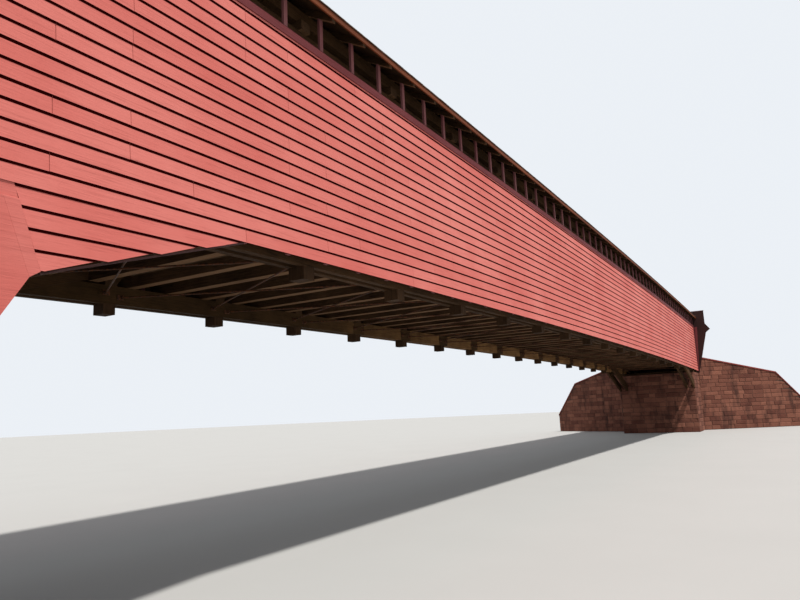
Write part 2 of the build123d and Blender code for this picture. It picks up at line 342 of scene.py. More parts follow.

# %% [markdown]
# The chord on the back side wears painted shade toward its near end. Beyond that it has a pale colour
# that is painted light, standing for light thrown up onto it. It is darker at every post. It starts from
# the timber above. A dark mark at every post could be painted by hand, but the posts stand at even
# distances, so the distance to the nearest one comes from x alone.

# %% Painted light and shade on the chord


def light_and_shade_on_chord(finish, dark):
    tree = finish.node_tree
    shader = tree.nodes["Principled BSDF"]
    colour = shader.inputs["Base Color"].links[0].from_socket
    place = tree.nodes.new("ShaderNodeTexCoord").outputs["Object"]
    split = tree.nodes.new("ShaderNodeSeparateXYZ")
    tree.links.new(place, split.inputs[0])
    bays = combine(tree, "ADD", combine(tree, "DIVIDE", split.outputs["X"], PANEL), 100.5)
    off_post = combine(tree, "ABSOLUTE", combine(tree, "SUBTRACT", combine(tree, "FRACT", bays), 0.5))
    ragged = combine(tree, "ADD", off_post, scaled(tree, noise(tree, place, 5.0), 0.12))
    # Darker at every post.
    stain = spread(tree, ragged, 0.16, 0.2, 0.75, 0.0)
    # Painted shade over the near end.
    near_end_shade = spread(tree, split.outputs["X"], -7.5, -3.0, 0.8, 0.0)
    colour = blend(tree, combine(tree, "MAXIMUM", stain, near_end_shade), colour, dark)
    tree.links.new(colour, shader.inputs["Base Color"])


print("posts stand", PANEL, "m apart")

# %% [markdown]
# The stone is weathered sandstone: two rock colours, dark stains that run down, and a pitted, lumpy
# face. The iron is old too: rust in small clouds over a dark skin, rough where it has bloomed.

# %% Stone and iron


def masonry(name, one, two, stain, lumps=0.012):
    finish, tree, shader, place = start_finish(name)
    clouds = noise(tree, place, 3.0, detail=6.0)
    grit = noise(tree, place, 70.0, detail=6.0, rough=0.75)
    lump = noise(tree, place, 14.0, detail=5.0, rough=0.6)
    drips = noise(tree, place, 3.5, (1.0, 1.0, 0.25), detail=5.0)
    mix = combine(tree, "ADD", scaled(tree, piece_tone(tree), 0.7), scaled(tree, clouds, 0.5))
    colour = blend(tree, spread(tree, mix, 0.25, 0.95), one, two)
    colour = blend(tree, spread(tree, drips, 0.5, 0.72, 0.0, 0.8), colour, stain)
    colour = blend(tree, spread(tree, grit, 0.55, 0.8, 0.0, 0.4), colour, tuple(c * 0.5 for c in one))
    shader.inputs["Specular IOR Level"].default_value = 0.2
    height = combine(tree, "ADD", lump, scaled(tree, grit, 0.35))
    finish_surface(tree, shader, colour, spread(tree, grit, 0.3, 0.8, 0.8, 1.0), height, lumps)
    return finish


def rusted_iron(name, dark, rusty, metal):
    finish, tree, shader, place = start_finish(name)
    rust = noise(tree, place, 40.0, detail=6.0)
    colour = blend(tree, spread(tree, rust, 0.4, 0.65), dark, rusty)
    shader.inputs["Metallic"].default_value = metal
    shader.inputs["Specular IOR Level"].default_value = 0.1
    finish_surface(tree, shader, colour, spread(tree, rust, 0.4, 0.65, 0.5, 0.9), rust, 0.001)
    return finish


print("stone and iron recipes ready")

# %% [markdown]
# ## The finishes
# The wall's red has gone salmon in the sun, its trim is a darker maroon, and the roof's edge board has
# faded to rust brown. The frame behind was never painted. The abutments are reddish brown sandstone and
# their sloping copings are painted red like the house. Each recipe serves a whole family here, since a
# separate tree for every member would only repeat it with other numbers.

# %% Painted finishes
WALL_RED = painted("faded_wall_red", srgb(193, 97, 89), srgb(214, 127, 118), srgb(158, 126, 110), chips=0.7)
# The lap colour is painted shade: a near-black red for the shadow under each board's thick edge.
LAP_SHADE = painted("painted_lap_shade", srgb(50, 2, 2), srgb(62, 6, 6), srgb(46, 12, 10), gloss=0.0)
BOARD_RED = painted("upright_board_red", srgb(140, 50, 48), srgb(168, 76, 70), srgb(120, 96, 84), "z")
# A maroon darkened as painted shade, for the backs of the fronts and the skirt's batten.
PAINTED_SHADE_MAROON = painted("painted_shade_maroon", srgb(42, 23, 22), srgb(60, 36, 33), srgb(58, 46, 40), "z", 0.62)
TRIM_RED = painted("maroon_trim", srgb(94, 40, 43), srgb(116, 58, 60), srgb(104, 82, 76), chips=0.72)
STUD_RED = painted("maroon_studs", srgb(118, 68, 70), srgb(160, 110, 110), srgb(112, 92, 86), "z", 0.74)
EDGE_RUST = painted("rust_brown_edge", srgb(96, 48, 26), srgb(130, 72, 42), srgb(70, 48, 38), chips=0.62)
CAP_RED = painted("coping_red", srgb(112, 42, 38), srgb(140, 70, 62), srgb(118, 96, 84), chips=0.62)
print("painted finishes:", len(bpy.data.materials))

# %% Timber, stone and iron finishes
BEAM_X = timber("long_timber", srgb(38, 25, 16), srgb(102, 74, 48), "x")
# The chord's pale colour is painted light. Its near end gets painted shade below.
CHORD_LIT_AND_SHADED = timber("painted_lit_timber", srgb(74, 52, 32), srgb(186, 140, 90), "x")
light_and_shade_on_chord(CHORD_LIT_AND_SHADED, srgb(26, 18, 11))
BEAM_Y = timber("cross_timber", srgb(38, 26, 18), srgb(110, 82, 58), "y", painted_underlight=0.9)
BEAM_Z = timber("upright_timber", srgb(38, 26, 18), srgb(98, 72, 50), "z")
ROOF_UNDER = timber("roof_sheathing", srgb(48, 33, 24), srgb(92, 66, 46), "x")
PLANK = timber("deck_planks", srgb(60, 45, 33), srgb(124, 100, 76), "x")
SHAKE = timber("split_shingles", srgb(74, 66, 60), srgb(136, 124, 112), "y")
RIDGE = timber("ridge_boards", srgb(70, 62, 56), srgb(128, 116, 104), "x")
STONE = masonry("red_brown_stone", srgb(92, 54, 44), srgb(132, 86, 70), srgb(52, 34, 30))
MORTAR = masonry("stained_mortar", srgb(84, 64, 56), srgb(108, 88, 76), srgb(52, 40, 36), 0.006)
IRON = rusted_iron("rusted_iron", srgb(58, 42, 33), srgb(112, 70, 48), 0.1)
DRIP_METAL = rusted_iron("dark_drip_metal", srgb(44, 38, 35), srgb(92, 54, 36), 0.4)
print("finishes:", len(bpy.data.materials))

# %% [markdown]
# ## Lap boards
# Each course of siding is a sawn board, thick at its lower edge, which covers the top of the board
# below. The thick edge throws the dark line that rules the whole wall. That line is deepened with
# painted shade: the edge's underside and a strip just under it wear a near-black red. The courses could
# be one ribbed sheet, but real boards end over a stud, sit a little high or low and differ in tone, so
# each one is made on its own.

# %% One lap board
LAP = 0.108
COVER = 0.018
LAP_SHADE_STRIP = 0.0145
BUTT_FACE = WALL + 0.004
BUTT_BACK = WALL - 0.013
TOP_FACE = WALL - 0.007
TOP_BACK = WALL - 0.015
TOP_THICK = 0.004
FACES = (WALL_RED, BEAM_X, LAP_SHADE)
# Each ring's sides wear: red face, painted shade strip, bare top, bare back, painted shade underside.
LAP_SIDES = [0, 2, 1, 1, 2]


def lap_ring(x, s, low, high, full):
    """Section of a board at x: butt, clean face, strip painted dark as shade, top and back. full is its
    share of a lap.
    """
    z = level(x)
    face = BUTT_FACE - (BUTT_FACE - TOP_FACE) * full
    clean = high - COVER - LAP_SHADE_STRIP if full > 0.99 else high - 0.002
    part = BUTT_FACE + (face - BUTT_FACE) * (clean - low) / (high - low)
    return [(x, s * BUTT_FACE, z + low), (x, s * part, z + clean), (x, s * face, z + high),
            (x, s * (face - TOP_THICK), z + high), (x, s * BUTT_BACK, z + low + 0.001)]


print("each course shows", LAP, "m")

# %% [markdown]
# A course is laid end to end from one corner to the other. Its joints fall on studs chosen by chance,
# because joints that line up would leave a weak line up the wall, so real siding is staggered. Each
# board is nailed a hair high or low at its ends, and bends with the wall at every post.

# %% Laying the siding
COURSES = 18
SIDING_TOP = 1.88
END_CLEAR = 0.001
BUTT_JOINT = 0.0022
UNEVEN = 0.0015


def board_ends():
    """Joints of one course, each over a stud, three to six studs apart."""
    ends = [-END_IN + END_CLEAR]
    k = chance.randrange(1, 6)
    while k < len(STUDS) - 2:
        ends.append(STUDS[k])
        k += chance.choice((3, 4, 4, 5, 6))
    return ends + [END_IN - END_CLEAR]


for side, s in (("front", -1), ("back", 1)):
    boards = Heap()
    for course in range(COURSES):
        low = LAP * course
        high = min(low + LAP + COVER, SIDING_TOP)
        full = (high - low) / (LAP + COVER)
        ends = board_ends()
        for a, b in zip(ends, ends[1:]):
            lift = [chance.uniform(-UNEVEN, UNEVEN) for _ in range(2)]
            rings = []
            for x in stations(a + BUTT_JOINT, b - BUTT_JOINT):
                dz = lift[0] + (lift[1] - lift[0]) * ((x - a) / (b - a))
                rings.append(lap_ring(x, s, low + dz, high, full))
            boards.loft(rings, sides=LAP_SIDES)
    make_piece(boards, "lap_boards_" + side, FACES, ["siding_" + side])

# %% [markdown]
# ## Boards over the arch's foot
# At the near end the courses run on below the wall's edge, cut off along a slope, to cover the foot of
# the arch. They end against a flat trim board, and beyond it a plain panel closes the corner. The
# courses are the same boards with slanted ends, so their ends are found where each lap line meets the
# two sloping edges.

# %% The skirt's outline
LEDGE = BASE - 0.045
SKIRT_START = (-SPAN / 2 + 2.422 * PANEL, level(-SPAN / 2 + 2.422 * PANEL))
SKIRT_TIP = (-SPAN / 2 + 1.45 * PANEL, BASE - 0.402)
TRIM_TOP = (-SPAN / 2 + 1.366 * PANEL, LEDGE)
APRON_TOP = (-SPAN / 2 + 1.312 * PANEL, LEDGE)
APRON_TIP = (-SPAN / 2 + 1.411 * PANEL, BASE - 0.44)
TRIM_GAP = 0.003


def on_line(one, two, z):
    return one[0] + (two[0] - one[0]) * (z - one[1]) / (two[1] - one[1])


def skirt_limits(drop):
    """x of both ends of the line that runs drop below the wall's edge."""
    left = right = SKIRT_TIP[0]
    for _ in range(12):
        left = on_line(TRIM_TOP, SKIRT_TIP, level(left) - drop)
        right = on_line(SKIRT_START, SKIRT_TIP, level(right) - drop)
    return left + TRIM_GAP, right


print("skirt runs", round(SKIRT_START[0] - SKIRT_TIP[0], 3), "m and drops 0.402 m")

# %% Skirt courses
SKIRT_FACE = WALL - 0.002
SKIRT_LAPS = 4


def slanted_course(boards, s, course):
    """One lap board with slanted ends, from the lap line below it to a little over the one above."""
    top = LAP * course
    low = min(LAP * (course + 1), level(SKIRT_TIP[0]) - SKIRT_TIP[1] - 0.002)
    cover = COVER * 0.9 if course else -0.0005
    rings = []
    for x, up in zip(skirt_limits(low), skirt_limits(top)):
        z0 = level(x) - low
        z1 = level(up) - top + cover
        k = 1.0 - (cover + LAP_SHADE_STRIP) / (z1 - z0)
        mid = (x + (up - x) * k, s * (BUTT_FACE + (TOP_FACE - BUTT_FACE) * k), z0 + (z1 - z0) * k)
        rings.append([(x, s * BUTT_FACE, z0), mid, (up, s * TOP_FACE, z1),
                      (up, s * TOP_BACK, z1), (x, s * BUTT_BACK, z0 + 0.001)])
    boards.loft(rings, sides=LAP_SIDES)


def skirt_boards(side, s):
    boards = Heap()
    for course in range(SKIRT_LAPS):
        slanted_course(boards, s, course)
    rings = []
    for x in stations(-END_IN + END_CLEAR, skirt_limits(0.0)[0]):
        below = TRIM_TOP[0] if x > -SPAN / 2 + 1.1 * PANEL else x
        top = level(x) - 0.0005
        rings.append([(below, s * SKIRT_FACE, LEDGE), (x, s * SKIRT_FACE, top),
                      (x, s * TOP_BACK, top), (below, s * TOP_BACK, LEDGE)])
    # The lower edge of this part wears the painted lap shade.
    boards.loft(rings, sides=[0, 1, 1, 2])
    make_piece(boards, "skirt_boards_" + side, FACES, ["skirt_" + side])


print("skirt courses:", SKIRT_LAPS)

# %% [markdown]
# The trim is one flat board between the courses and the plain panel. Along the skirt's sloping edge a
# thin batten closes the ends of the courses from below. It lies in its own shade, and its dark maroon
# is painted shade as well.

# %% Skirt trim and batten
BATTEN = ((1.486, -0.001), (1.4985, -0.001), (1.4985, -0.015), (1.486, -0.015))
SKIRT_TRIM = [TRIM_TOP, SKIRT_TIP, APRON_TIP, APRON_TOP]

for side, s in (("front", -1), ("back", 1)):
    skirt_boards(side, s)
    trim = Heap()
    trim.loft([[(x, s * y, z) for x, z in SKIRT_TRIM] for y in (WALL - 0.015, WALL + 0.009)])
    make_piece(trim, "skirt_trim_" + side, WALL_RED, round_off=0.002)
    batten = Heap()
    ends = (SKIRT_TIP, (SKIRT_START[0] - 0.01, SKIRT_START[1]))
    batten.loft([[(x, s * y, z + dz) for y, dz in BATTEN] for x, z in ends])
    make_piece(batten, "skirt_batten_" + side, PAINTED_SHADE_MAROON)

# %% [markdown]
# ## Upright boards on the two fronts
# Each end of the house is a stepped front around the doorway, flared at its sides to cover the eaves.
# It is boarded upright. The boards are cut to the outline by walking across the front in board widths
# and asking how low and how high the outline reaches at each of them.

# %% The fronts' outline
RAFTER = 2.255
ROOF_SLOPE = 0.58
HEADER = 2.07
DOOR = 1.125
STEPS = [(1.95, 1.23), (1.23, 0.905), (0.905, 0.3), (0.3, 0.0)]
STEP_OVER = 0.109
CREST_RISE = 0.24
FRONT_FOOT = -0.085
FOOT_HALF = 1.53
FLARE = (0.43, 1.685)
SHOULDER = ((1.952, 1.6), (1.965, 1.6), (2.128, 1.73), (1.952, 1.975))


def step_top(inner):
    """Top of the step that ends at half width inner, over the roof behind it."""
    top = RAFTER + ROOF_SLOPE * (WALL - inner) + STEP_OVER
    return top + (CREST_RISE if inner == 0.0 else 0.0)


def board_foot(y):
    """Lower end of a board at half width y beside the doorway, where the front flares."""
    return FRONT_FOOT if y <= FOOT_HALF else FRONT_FOOT + FLARE[1] * (y - FOOT_HALF) / FLARE[0]


print("steps of the front:", [round(step_top(inner), 3) for _, inner in STEPS])

# %% [markdown]
# The doorway's edge falls inside a board, so that board is split there: one part hangs over the
# opening and the other stands beside it. Boards on the flared sides have slanting feet.

# %% Front boards
FRONT_THICK = 0.012
FRONT_WIDE = 0.095
FRONT_GAP = 0.0015


def upright(boards, xs, ya, yb, foot_a, foot_b, top):
    """One board from ya to yb, with the heights of its two lower corners and of its level top."""
    ya, yb = ya + FRONT_GAP, yb - FRONT_GAP
    x0, x1 = xs
    rings = []
    for za, zb in ((foot_a, foot_b), (top, top)):
        corners = ((x0, ya, za), (x0, yb, zb), (x1, yb, zb), (x1, ya, za))
        rings.append([(x, y, BASE + z) for x, y, z in corners])
    boards.loft(rings)


def board_step(boards, xs, s, outer, inner):
    """Boards over one step of one half. A board that meets the doorway's edge is split there."""
    count = max(1, round((outer - inner) / FRONT_WIDE))
    top = step_top(inner)
    for k in range(count):
        a, b = (inner + (outer - inner) * n / count for n in (k, k + 1))
        over_door = b <= DOOR + 1e-6
        feet = [HEADER, HEADER] if over_door else [board_foot(a), board_foot(b)]
        if not over_door and a < DOOR:
            upright(boards, xs, *sorted((s * a, s * DOOR)), HEADER, HEADER, top)
            a = DOOR
            feet[0] = FRONT_FOOT
        if s < 0:
            upright(boards, xs, -b, -a, feet[1], feet[0], top)
        else:
            upright(boards, xs, a, b, feet[0], feet[1], top)


for end, d in (("near", -1), ("far", 1)):
    boards = Heap()
    xs = (d * END_OUT, d * (END_OUT + FRONT_THICK))
    for s in (-1, 1):
        for outer, inner in STEPS:
            board_step(boards, xs, s, outer, inner)
        boards.loft([[(x, s * y, BASE + z) for y, z in SHOULDER] for x in xs])
    make_piece(boards, "front_boards_" + end, BOARD_RED)

# %% [markdown]
# ## Trim of the fronts
# Flat boards frame the doorway and cap each step, so that rain doesn't enter the ends of the upright
# boards. They are simple lofts, a little proud of the boards, with their edges worn.

# %% Front trim
TRIM_WIDE = 0.1
CAP_THICK = 0.016
CAP_OVER = 0.012
SILL = BASE - 0.08
HEAD = BASE + HEADER
EDGE_STRIP = ((1.516, 0.02), (1.53, 0.0), (1.64, 1.85), (1.531, 1.85))


def flat_trim(trim, xs, ring):
    trim.loft([[(x, y, z) for y, z in ring] for x in xs])


for end, d in (("near", -1), ("far", 1)):
    trim = Heap()
    cap_xs = (d * (END_OUT - 0.055), d * (END_OUT + 0.03))
    door_xs = (d * END_OUT, d * (END_OUT + 0.024))
    strip_xs = (d * (END_IN - 0.022), d * (END_IN + 0.001))
    for s in (-1, 1):
        for outer, inner in STEPS:
            top = BASE + step_top(inner)
            y0, y1 = s * (outer + CAP_OVER), s * inner
            flat_trim(trim, cap_xs, [(y0, top), (y1, top), (y1, top + CAP_THICK), (y0, top + CAP_THICK)])
        flat_trim(trim, door_xs, [(s * DOOR, SILL), (s * (DOOR + TRIM_WIDE), SILL),
                                  (s * (DOOR + TRIM_WIDE), HEAD + TRIM_WIDE), (s * DOOR, HEAD)])
    flat_trim(trim, door_xs, [(-DOOR, HEAD), (DOOR, HEAD), (DOOR + TRIM_WIDE, HEAD + TRIM_WIDE),
                              (-DOOR - TRIM_WIDE, HEAD + TRIM_WIDE)])
    for s in (-1, 1):
        flat_trim(trim, strip_xs, [(s * y, BASE + z) for y, z in EDGE_STRIP])
    make_piece(trim, "front_trim_" + end, TRIM_RED, round_off=0.002)

# %% [markdown]
# ## Shingles
# The roof is covered with split wooden shingles, nailed in courses from the eave up, each course hiding
# the joints of the one below. A bump map would look flat along the eave, so every shingle is a thin
# wedge with its thick end down the slope. Their widths vary and their ends are slightly ragged.

# %% One shingle
ROOF_EDGE = WALL + 0.14
ROOF_THICK = 0.099
SHOW = 0.077
TILT = math.hypot(1.0, ROOF_SLOPE)
SLOPE_LENGTH = (ROOF_EDGE + 0.012) * TILT


def shingle(shakes, s, a, b, foot):
    """A wedge from a to b along the eave, its thick end at distance foot down the slope."""
    head = max(foot - SHOW * 1.35, 0.0)
    rings = []
    for x in (a, b):
        ring = []
        for run, up in ((foot, 0.0095), (head, 0.003), (head, 0.0), (foot, 0.0025)):
            y = run / TILT
            ring.append((x, s * y, level(x) + RAFTER + ROOF_SLOPE * (WALL - y) + ROOF_THICK + up))
        rings.append(ring)
    shakes.loft(rings)


print("each slope is", round(SLOPE_LENGTH, 3), "m long")

# %% Roof shingles
VERGE = END_IN - 0.002
for side, s in (("front", -1), ("back", 1)):
    shakes = Heap()
    for course in range(int(SLOPE_LENGTH / SHOW)):
        x = -VERGE - chance.uniform(0.0, 0.04)
        while x < END_IN - 0.004:
            wide = chance.uniform(0.06, 0.115)
            a, b = max(x, -VERGE), min(x + wide - 0.0025, VERGE)
            x += wide
            if b - a >= 0.012:
                shingle(shakes, s, a, b, SLOPE_LENGTH - course * SHOW - chance.uniform(0.0, 0.006))
    make_piece(shakes, "shingles_" + side, SHAKE)

# %% [markdown]
# ## Deck
# Thick planks lie lengthwise on the floor beams. From below they close the gaps between the beams, and
# from the doorway they are the floor. Fifteen rows of separate planks replace the solid slab.

# %% Deck planks
DECK_HALF = 1.12
DECK_LOW = 0.285
DECK_THICK = 0.04
PLANK_LONG = 3.66
PLANK_GAP = 0.0015
ROWS = 15
planks = Heap()
for row in range(ROWS):
    y0, y1 = (-DECK_HALF + 2 * DECK_HALF * n / ROWS for n in (row, row + 1))
    x = -END_OUT
    while x < END_OUT - 0.01:
        long = chance.uniform(1.2, 3.6) if x == -END_OUT else PLANK_LONG
        b = min(x + long, END_OUT)
        if END_OUT - b < 0.5:
            b = END_OUT
        sink = chance.uniform(0.0, 0.0025)
        rings = []
        for px in stations(x + 0.002, b - 0.002):
            z = level(px) + DECK_LOW
            top = z + DECK_THICK - sink
            rings.append([(px, y0 + PLANK_GAP, z), (px, y1 - PLANK_GAP, z),
                          (px, y1 - PLANK_GAP, top), (px, y0 + PLANK_GAP, top)])
        planks.loft(rings)
        x = b
make_piece(planks, "road_planks", PLANK, ["deck"], round_off=0.0015)

# %% [markdown]
# ## Stonework
# The abutments and wing walls are coursed rubble: rough blocks of one height to a course, with wide
# joints. The solid behind is left to show as the mortar. Each block is a ring in the wall, a second ring
# a little proud and a third, smaller and shaken, so that its face is pillowed like hand-dressed stone.

# %% One rough block
BEDDED = -0.012
FLUSH = 0.003
PILLOW = 0.016
SHAKE_BY = 0.005


def rough_block(heap, place, a, b, low, tops):
    """One stone from a to b along the wall. place(u, v, w) is the point at length, height and depth."""
    proud = chance.uniform(0.008, 0.02)
    rings = []
    for inset, depth, shake in ((0.0, BEDDED, 0.0), (0.0, FLUSH, 0.0), (PILLOW, proud, SHAKE_BY)):
        ring = []
        quad = ((a + inset, low + inset), (b - inset, low + inset),
                (b - inset, tops[1] - inset), (a + inset, tops[0] - inset))
        for k, (u, v) in enumerate(quad):
            if k > 1:
                v = max(v, low + inset + 0.002)
            u += chance.uniform(-shake, shake)
            v += chance.uniform(-shake, shake) * 0.5
            ring.append(place(u, v, depth + chance.uniform(-shake, shake)))
        rings.append(ring)
    heap.loft(rings)


print("a stone stands up to 0.02 m proud")

# %% [markdown]
# A wall face is laid from the foot up, course by course, and each course from one end to the other. The
# wall's top may slope, so a stone that would stand out over the crest is cut back or left out.

# %% A wall of blocks
COURSE = (0.15, 0.2)
STONE_WIDE = (0.24, 0.52)
JOINT = 0.005
LEAST = 0.03
LEAST_RISE = 0.02


def stone_face(heap, corner, along, out, length, crest):
    """Blocks over one wall face. crest(u) is the wall's height at distance u along it."""
    def place(u, v, w):
        return corner + along * u + out * w + UPWARD * v

    v = 0.0
    highest = max(crest(length * k / 20) for k in range(21))
    while v < highest - LEAST:
        rise = chance.uniform(*COURSE)
        u = -chance.uniform(0.0, 0.2)
        while u < length - 0.02:
            wide = chance.uniform(*STONE_WIDE)
            a, b = max(u, 0.0) + JOINT, min(u + wide, length) - JOINT
            u += wide
            low = v + JOINT
            while b > a and crest(b) < low + LEAST_RISE:
                b -= 0.01
            tops = [min(v + rise, crest(end) - 0.002) - JOINT for end in (a, b)]
            if b - a >= LEAST and max(tops) >= low + LEAST_RISE:
                rough_block(heap, place, a, b, low, tops)
        v += rise


print("courses are", *COURSE, "m high")

# %% [markdown]
# Each abutment has a face toward the span, two flanks, and an approach behind the house's end whose
# back and sides show as well. The approach is topped with flat slabs, since it carries on the deck.

# %% Abutments and approaches
SEAT = BASE - 0.085
HALF = 1.46
APPROACH = 0.6
FACE_IN = SPAN / 2 - 0.85 * PANEL


def approach_slabs(stones, d, road):
    """Two rows of flat slabs that top the approach."""
    for row in range(2):
        xs = [d * (END_OUT + APPROACH / 2 * (row + t)) for t in (0.02, 0.98)]
        y = -HALF
        while y < HALF - 0.01:
            b = min(y + chance.uniform(0.34, 0.56), HALF)
            b = HALF if HALF - b < 0.2 else b
            up = road + chance.uniform(0.004, 0.009)
            stones.loft([[(x, y + 0.005, road - 0.01), (x, b - 0.005, road - 0.01),
                          (x, b - 0.008, up), (x, y + 0.008, up)] for x in xs])
            y = b


for end, d in (("near", -1), ("far", 1)):
    stones = Heap()
    road = level(d * END_OUT) + 0.325
    X = Vector((d, 0, 0))
    Y = Vector((0, 1, 0))
    stone_face(stones, Vector((d * FACE_IN, -HALF, 0)), Y, -X, 2 * HALF, lambda u: SEAT)
    stone_face(stones, Vector((d * (END_OUT + APPROACH), -HALF, 0)), Y, X, 2 * HALF, lambda u: road)
    for s in (-1, 1):
        stone_face(stones, Vector((d * FACE_IN, s * HALF, 0)), X, Y * s, END_OUT - FACE_IN, lambda u: SEAT)
        stone_face(stones, Vector((d * END_OUT, s * HALF, 0)), X, Y * s, APPROACH, lambda u: road)
    approach_slabs(stones, d, road)
    make_piece(stones, "abutment_stones_" + end, STONE)

# %% [markdown]
# The wing walls spread from the approach at 60 degrees, and their crests fall gently at first, then
# steeply. Their copings are cut into slabs with open joints, since one long bar would look cast.

# %% Wing walls and copings
CREST = [(-0.3, 0.622), (3.17, -0.213), (4.455, -1.693)]
WING_LONG = 4.455
WING_HALF = 0.15
MITRE = 0.577
SLABS = (0.13, 0.72, 1.33, 1.94, 2.55, 3.17, 3.8, WING_LONG)
SLAB_GAP = 0.003
SLAB_RING = ((-0.19, 0.0), (0.19, 0.0), (0.19, 0.052), (0.12, 0.06), (-0.12, 0.06), (-0.19, 0.052))


def crest_height(u):
    for (u0, z0), (u1, z1) in zip(CREST, CREST[1:]):
        if u <= u1:
            return BASE + z0 + (z1 - z0) * (u - u0) / (u1 - u0)
    return BASE + CREST[-1][1]


for end, d in (("near", -1), ("far", 1)):
    stones = Heap()
    slabs = Heap()
    for s in (-1, 1):
        start = Vector((d * (END_OUT + APPROACH / 2), s * HALF, 0))
        along = Vector((d * 0.5, s * math.sin(math.radians(60)), 0))
        out = Vector((along.y, -along.x, 0))
        for w in (-1, 1):
            u0 = w * d * s * WING_HALF * MITRE + 0.01
            corner = start + out * (WING_HALF * w) + along * u0
            stone_face(stones, corner, along, out * w, WING_LONG - u0, lambda u: crest_height(u + u0))
        corner = start + along * WING_LONG - out * WING_HALF
        stone_face(stones, corner, out, along, 2 * WING_HALF, lambda u: BASE + CREST[-1][1])
        for a, b in zip(SLABS, SLABS[1:]):
            rings = []
            for u in (a + SLAB_GAP, b - SLAB_GAP):
                spot, z = start + along * u, crest_height(u)
                rings.append([spot + out * w + UPWARD * (z + up) for w, up in SLAB_RING])
            slabs.loft(rings)
    make_piece(stones, "wing_stones_" + end, STONE)
    make_piece(slabs, "coping_slabs_" + end, CAP_RED, ["wing_copings_" + end], round_off=0.004)

# %% [markdown]
# ## Iron
# Bolts hold the two ribs of each arch to the posts. Their heads and square washers are small, but they
# tell the size of the timbers. They are placed where the arch passes a post, on its inner face.

# %% The arch's line
CROWN = level(0.0) + 1.83
ARCH_FOOT = BASE - 0.6
ARCH_HALF = FACE_IN
ARCH_DEEP = 0.125


def arch_height(x):
    return CROWN - (CROWN - ARCH_FOOT) * (x / ARCH_HALF) ** 2


def arch_near(x, low, high):
    """Whether the arch passes the band from low to high above the wall's edge at x."""
    slope = 2 * (CROWN - ARCH_FOOT) * abs(x) / ARCH_HALF ** 2
    half = ARCH_DEEP * math.sqrt(1 + slope * slope)
    z = arch_height(x) - level(x)
    return z - half < high and z + half > low


print("arch crown:", round(CROWN, 3), "m up")

# %% Bolt heads
ARCH_IN = 1.125
BOLT_SPOTS = ((-0.03, -0.05), (0.03, 0.05))
WASHER_AND_HEAD = ((0.034, 0.004, 4), (0.015, 0.014, 6))
bolts = Heap()
for s in (-1, 1):
    for x in POSTS:
        z = arch_height(x)
        if not level(x) + 0.05 < z < level(x) + 2.0 or abs(x) > ARCH_HALF:
            continue
        for dx, dz in BOLT_SPOTS:
            for size, deep, sides in WASHER_AND_HEAD:
                turn = [math.tau * (k + 0.5) / sides for k in range(sides)]
                rim = [(x + dx + size * math.cos(t), z + dz + size * math.sin(t)) for t in turn]
                bolts.loft([[(px, s * y, pz) for px, pz in rim] for y in (ARCH_IN + 0.001, ARCH_IN - deep)])
make_piece(bolts, "arch_bolts", IRON)

# %% [markdown]
# Crossed iron rods brace the floor flat in each panel, under the beams. The solids are square bars, so
# round rods stand for them here, with a nut and a plate where each enters its chord. Where the arch
# passes low beside a chord, the rod ends at the arch instead.

# %% Round rods
POST_IN = 1.2
ROD = 0.0085
NUT = 0.019
PLATE = ((-0.04, -0.025), (0.04, -0.025), (0.04, 0.025), (-0.04, 0.025))


def round_bar(heap, start, stop, radius, sides=10):
    way = (stop - start).normalized()
    across = way.cross(UPWARD).normalized()
    over = across.cross(way)
    turn = [math.tau * k / sides for k in range(sides)]
    heap.loft([[p + across * (radius * math.cos(t)) + over * (radius * math.sin(t)) for t in turn]
               for p in (start, stop)])


def rod_between(rods, start, stop):
    """One rod with a nut and a plate at each end."""
    way = (stop - start).normalized()
    round_bar(rods, start, stop, ROD)
    for p, toward in ((start, way), (stop, -way)):
        round_bar(rods, p + toward * 0.012, p + toward * 0.034, NUT, 6)
        inward = Vector((0, -1 if p.y > 0 else 1, 0))
        faces = (p + inward * deep for deep in (-0.001, 0.008))
        rods.loft([[face + Vector((px, 0, pz)) for px, pz in PLATE] for face in faces])


print("rods are", 2 * ROD, "m thick")

# %% Floor rods
ROD_INSET = 0.11
ROD_DROP = {-1: 0.05, 1: 0.07}
FIRST_ROD = SPAN / 2 - 1.35 * PANEL
rods = Heap()
for a, b in zip(POSTS, POSTS[1:]):
    if b <= -FIRST_ROD or a >= FIRST_ROD:
        continue
    spots = (a + 0.1, a + 0.19, b - 0.1, b - 0.19)
    reach = ARCH_IN if any(arch_near(v, 0.035, 0.1) for v in spots) else POST_IN
    for turn, drop in ROD_DROP.items():
        xa, xb = a + ROD_INSET, b - ROD_INSET
        rod_between(rods, Vector((xa, -turn * reach, level(xa) + drop)),
                    Vector((xb, turn * reach, level(xb) + drop)))
make_piece(rods, "round_floor_rods", IRON, ["floor_rods"])

# %% [markdown]
# A thin folded drip edge of dark metal lies under the first shingles, along both eaves. From below it
# is the fine black line along the roof's edge. One section carried from post to post makes it.

# %% Drip edges
DRIP_RING = ((-0.05, 0.031), (0.007, -0.002), (0.007, -0.010),
             (0.005, -0.010), (0.005, -0.003), (-0.05, 0.029))
for side, s in (("front", -1), ("back", 1)):
    drip = Heap()
    rings = []
    for x in stations(-END_IN + END_CLEAR, END_IN - END_CLEAR):
        z = level(x) + RAFTER - ROOF_SLOPE * 0.14 + ROOF_THICK
        rings.append([(x, s * (ROOF_EDGE + dy), z + dz) for dy, dz in DRIP_RING])
    drip.loft(rings)
    make_piece(drip, "drip_edge_" + side, DRIP_METAL)

# %% [markdown]
# ## Finishes on the solids that stay
# Posts, chords, braces, arches, beams and rafters have their right shape already, so they keep their
# solids and only take a finish. Wood grain must run along each member, so a member gets the timber whose
# noise is stretched the same way.

